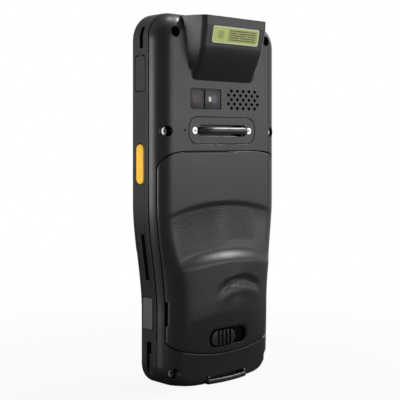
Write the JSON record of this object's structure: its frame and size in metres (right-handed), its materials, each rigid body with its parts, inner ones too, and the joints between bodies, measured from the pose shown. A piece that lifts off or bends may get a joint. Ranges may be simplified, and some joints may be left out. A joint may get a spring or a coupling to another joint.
{
  "type": "portable barcode data terminal",
  "caption": "Rugged handheld scanning terminal with keypad, rear scanner hump, side triggers, strap bar and latched battery cover; covers, latch, triggers and keys move.",
  "frame": {"origin": "centre of the bounding box on the plane of the lower end, on which the terminal stands", "axes": "+Z along the body from the lower end to the scanner, +Y from the display to the back, +X to the left of a person who looks at the back"},
  "size_m": [0.078, 0.0284, 0.1668],
  "materials": {
    "housing_plastic": "fine grained charcoal ABS-PC, satin",
    "cover_plastic": "charcoal ABS-PC with a fine herringbone grip texture",
    "plate_plastic": "charcoal plastic, satin",
    "latch_plastic": "black acetal, satin",
    "rubber": "dark rubber, matt",
    "grey_rubber": "grey rubber, matt",
    "trigger_plastic": "amber plastic, semi-gloss",
    "glass_black": "black printed cover glass",
    "display_black": "dark display stack",
    "tape": "black foam tape",
    "magnesium": "cast magnesium, matt",
    "board_green": "green solder resist",
    "shield_steel": "tinned steel sheet",
    "inner_plastic": "black glass-filled plastic",
    "flash_plastic": "translucent white light guide",
    "window_dark": "dark polycarbonate window",
    "scan_red": "dark red acrylic scan window",
    "mesh_steel": "black woven steel mesh",
    "label_yellow": "yellow-green vinyl label, plain bars",
    "bar_metal": "dark satin plated steel",
    "screw_steel": "nickel plated steel",
    "battery_wrap": "grey printed film over pouch cells",
    "gold": "gold plated contacts",
    "key_grey": "moulded key caps",
    "key_green": "green moulded key cap",
    "key_amber": "amber moulded key cap",
    "key_red": "red moulded key cap"
  },
  "bodies": {
    "terminal": {"front_housing": "housing_plastic", "rear_housing": "housing_plastic", "housing_gasket": "rubber", "display_glass": "glass_black", "display_gasket": "tape", "display_panel": "display_black", "mid_frame": "magnesium", "main_board": "board_green", "board_shields": "shield_steel", "keypad_board": "board_green", "earpiece": "inner_plastic", "earpiece_mesh": "mesh_steel", "scan_engine": "inner_plastic", "scan_bracket": "magnesium", "scan_window": "scan_red", "loudspeaker": "inner_plastic", "camera_module": "inner_plastic", "camera_window": "window_dark", "flash_module": "flash_plastic", "flash_window": "window_dark", "label_plate": "label_yellow", "strap_plate": "plate_plastic", "strap_bar": "bar_metal", "strap_screws": "screw_steel", "housing_screws": "screw_steel", "cover_seal": "rubber", "battery": "battery_wrap", "battery_contacts": "gold", "trigger_switches": "inner_plastic", "jack_socket": "inner_plastic", "usb_socket": "shield_steel", "card_socket": "shield_steel", "vibration_motor": "shield_steel", "strap_loop": "housing_plastic", "dock_contacts": "gold"},
    "battery_cover": {"battery_cover": "cover_plastic"},
    "battery_latch": {"battery_latch": "latch_plastic"},
    "scan_trigger_left": {"scan_trigger_left": "trigger_plastic"},
    "scan_trigger_right": {"scan_trigger_right": "trigger_plastic"},
    "jack_cover": {"jack_cover": "rubber"},
    "usb_cover": {"usb_cover": "grey_rubber"},
    "key_left": {"key_left": "key_green"},
    "key_scan": {"key_scan": "key_amber"},
    "key_right": {"key_right": "key_red"},
    "key_1": {"key_1": "key_grey"},
    "key_2": {"key_2": "key_grey"},
    "key_3": {"key_3": "key_grey"},
    "key_4": {"key_4": "key_grey"},
    "key_5": {"key_5": "key_grey"},
    "key_6": {"key_6": "key_grey"},
    "key_7": {"key_7": "key_grey"},
    "key_8": {"key_8": "key_grey"},
    "key_9": {"key_9": "key_grey"},
    "key_star": {"key_star": "key_grey"},
    "key_0": {"key_0": "key_grey"},
    "key_hash": {"key_hash": "key_grey"}
  },
  "joints": [
    {"name": "battery_cover_hinge", "type": "hinge", "parent": "terminal", "child": "battery_cover", "pos_m": [0, 0.00485, 0.10525], "axis": [1, 0, 0], "range_deg": [0, 35]},
    {"name": "battery_latch_slide", "type": "slide", "parent": "battery_cover", "child": "battery_latch", "axis": [-1, 0, 0], "range_m": [0, 0.0046]},
    {"name": "scan_trigger_right_press", "type": "slide", "parent": "terminal", "child": "scan_trigger_right", "axis": [-1, 0, 0], "range_m": [0, 0.0007], "stiffness_N_per_m": 4000},
    {"name": "scan_trigger_left_press", "type": "slide", "parent": "terminal", "child": "scan_trigger_left", "axis": [1, 0, 0], "range_m": [0, 0.0007], "stiffness_N_per_m": 4000},
    {"name": "jack_cover_hinge", "type": "hinge", "parent": "terminal", "child": "jack_cover", "pos_m": [0.0384, -0.00825, 0.1316], "axis": [0, 1, 0], "range_deg": [0, 100]},
    {"name": "usb_cover_hinge", "type": "hinge", "parent": "terminal", "child": "usb_cover", "pos_m": [0.03385, -0.00865, 0.0254], "axis": [0, 1, 0], "range_deg": [0, 100]},
    {"name": "key_left_press", "type": "slide", "parent": "terminal", "child": "key_left", "axis": [0, 1, 0], "range_m": [0, 0.00035], "stiffness_N_per_m": 4000},
    {"name": "key_scan_press", "type": "slide", "parent": "terminal", "child": "key_scan", "axis": [0, 1, 0], "range_m": [0, 0.00035], "stiffness_N_per_m": 4000},
    {"name": "key_right_press", "type": "slide", "parent": "terminal", "child": "key_right", "axis": [0, 1, 0], "range_m": [0, 0.00035], "stiffness_N_per_m": 4000},
    {"name": "key_1_press", "type": "slide", "parent": "terminal", "child": "key_1", "axis": [0, 1, 0], "range_m": [0, 0.00035], "stiffness_N_per_m": 4000},
    {"name": "key_2_press", "type": "slide", "parent": "terminal", "child": "key_2", "axis": [0, 1, 0], "range_m": [0, 0.00035], "stiffness_N_per_m": 4000},
    {"name": "key_3_press", "type": "slide", "parent": "terminal", "child": "key_3", "axis": [0, 1, 0], "range_m": [0, 0.00035], "stiffness_N_per_m": 4000},
    {"name": "key_4_press", "type": "slide", "parent": "terminal", "child": "key_4", "axis": [0, 1, 0], "range_m": [0, 0.00035], "stiffness_N_per_m": 4000},
    {"name": "key_5_press", "type": "slide", "parent": "terminal", "child": "key_5", "axis": [0, 1, 0], "range_m": [0, 0.00035], "stiffness_N_per_m": 4000},
    {"name": "key_6_press", "type": "slide", "parent": "terminal", "child": "key_6", "axis": [0, 1, 0], "range_m": [0, 0.00035], "stiffness_N_per_m": 4000},
    {"name": "key_7_press", "type": "slide", "parent": "terminal", "child": "key_7", "axis": [0, 1, 0], "range_m": [0, 0.00035], "stiffness_N_per_m": 4000},
    {"name": "key_8_press", "type": "slide", "parent": "terminal", "child": "key_8", "axis": [0, 1, 0], "range_m": [0, 0.00035], "stiffness_N_per_m": 4000},
    {"name": "key_9_press", "type": "slide", "parent": "terminal", "child": "key_9", "axis": [0, 1, 0], "range_m": [0, 0.00035], "stiffness_N_per_m": 4000},
    {"name": "key_star_press", "type": "slide", "parent": "terminal", "child": "key_star", "axis": [0, 1, 0], "range_m": [0, 0.00035], "stiffness_N_per_m": 4000},
    {"name": "key_0_press", "type": "slide", "parent": "terminal", "child": "key_0", "axis": [0, 1, 0], "range_m": [0, 0.00035], "stiffness_N_per_m": 4000},
    {"name": "key_hash_press", "type": "slide", "parent": "terminal", "child": "key_hash", "axis": [0, 1, 0], "range_m": [0, 0.00035], "stiffness_N_per_m": 4000}
  ]
}
